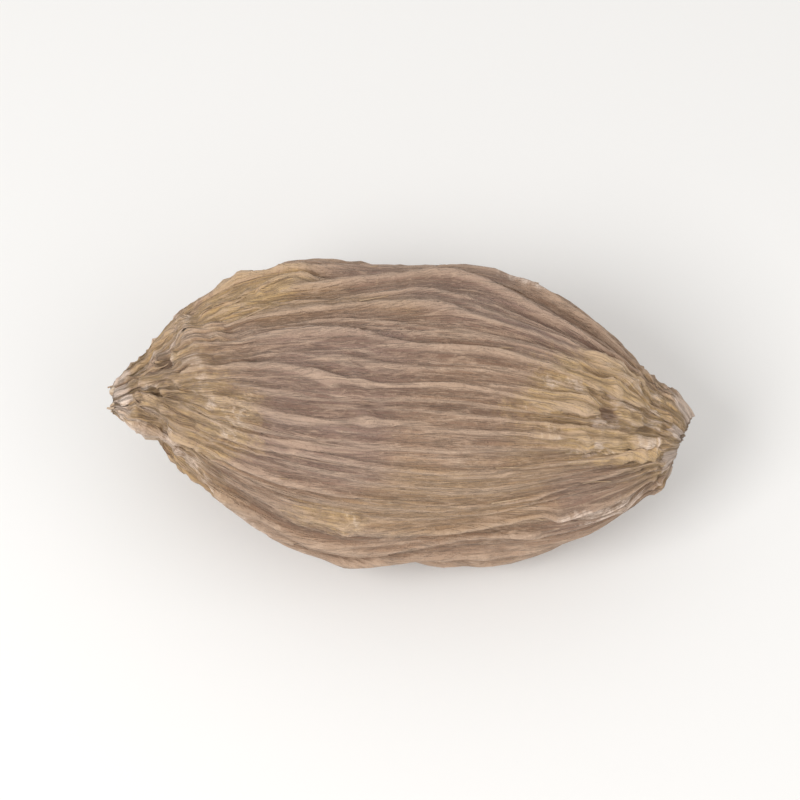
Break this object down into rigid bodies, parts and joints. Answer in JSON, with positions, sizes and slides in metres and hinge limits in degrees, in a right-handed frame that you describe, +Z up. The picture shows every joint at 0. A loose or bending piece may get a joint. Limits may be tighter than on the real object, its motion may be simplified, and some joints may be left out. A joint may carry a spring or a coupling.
{
  "type": "black cardamom pod",
  "caption": "Dried black cardamom pod with a rough ribbed husk, a puckered beak and a torn stalk end, lying on its side.",
  "frame": {"origin": "on the surface that the pod rests on, under the middle of its box", "axes": "+X along the pod towards its stalk end, +Y across it, +Z up from the surface"},
  "size_m": [0.025, 0.0136, 0.0122],
  "materials": {
    "husk": "matte"
  },
  "bodies": {
    "root": {"pod": "husk"}
  },
  "joints": []
}
